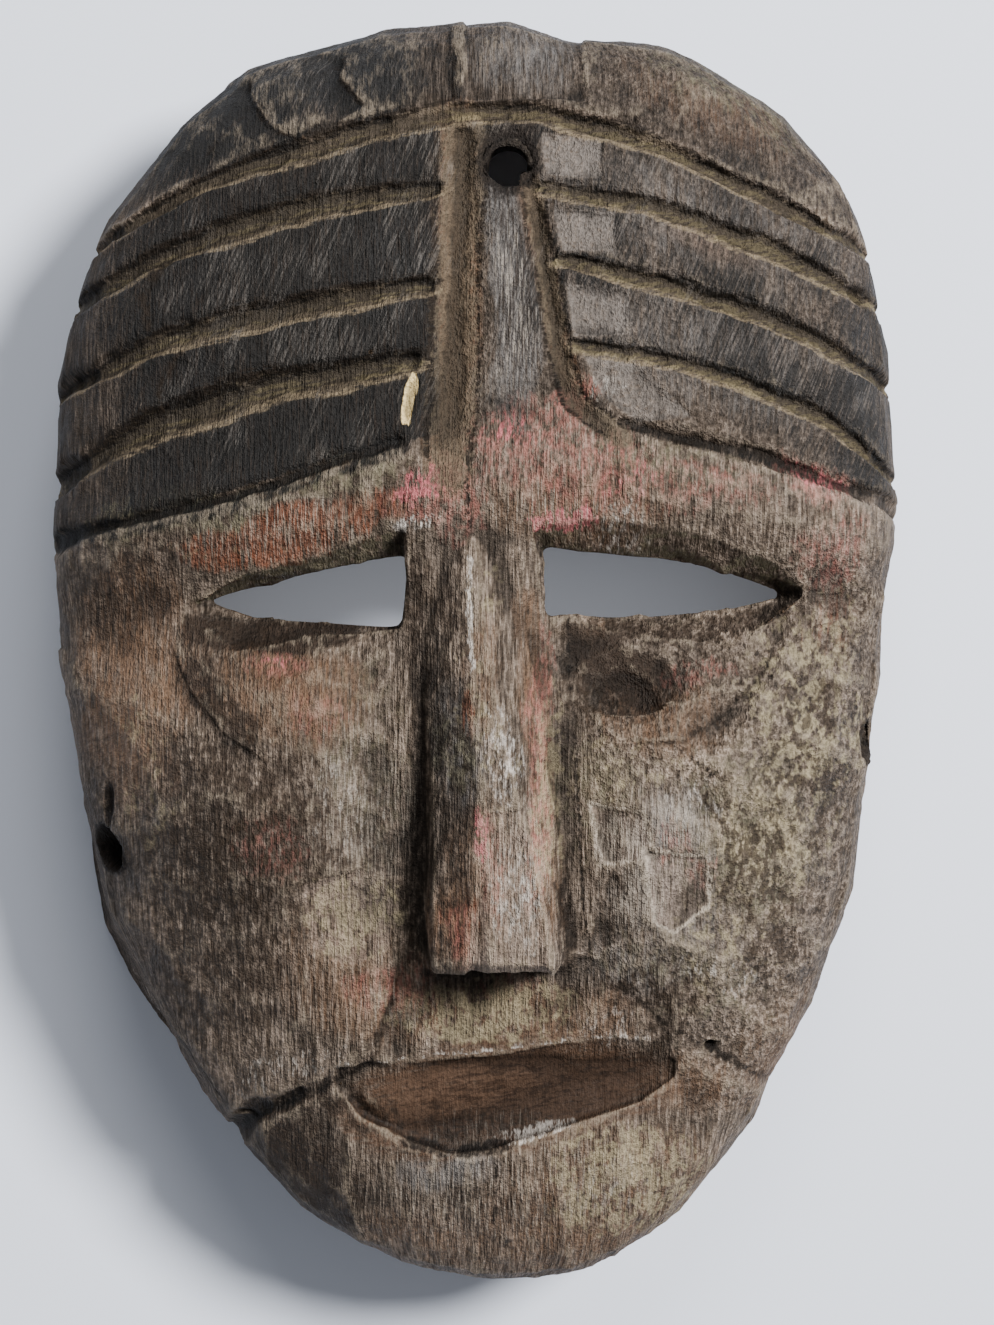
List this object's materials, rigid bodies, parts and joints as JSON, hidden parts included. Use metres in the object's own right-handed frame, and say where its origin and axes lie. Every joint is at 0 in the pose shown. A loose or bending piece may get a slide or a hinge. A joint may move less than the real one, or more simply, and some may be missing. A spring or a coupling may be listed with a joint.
{
  "type": "carved face mask",
  "caption": "Oval carved wooden face mask with slit eyes, a long straight nose, a grooved forehead and tie holes, hollow at the back.",
  "frame": {"origin": "middle of the bounding box, on the plane that the rim rests on", "axes": "+Z out of the face, +Y towards the forehead, +X to the viewer's right when facing the mask"},
  "size_m": [0.1608, 0.2408, 0.084],
  "materials": {
    "wood": "matt, aged and smoke-darkened, with worn red and black pigment"
  },
  "bodies": {
    "root": {"mask": "wood"}
  },
  "joints": []
}
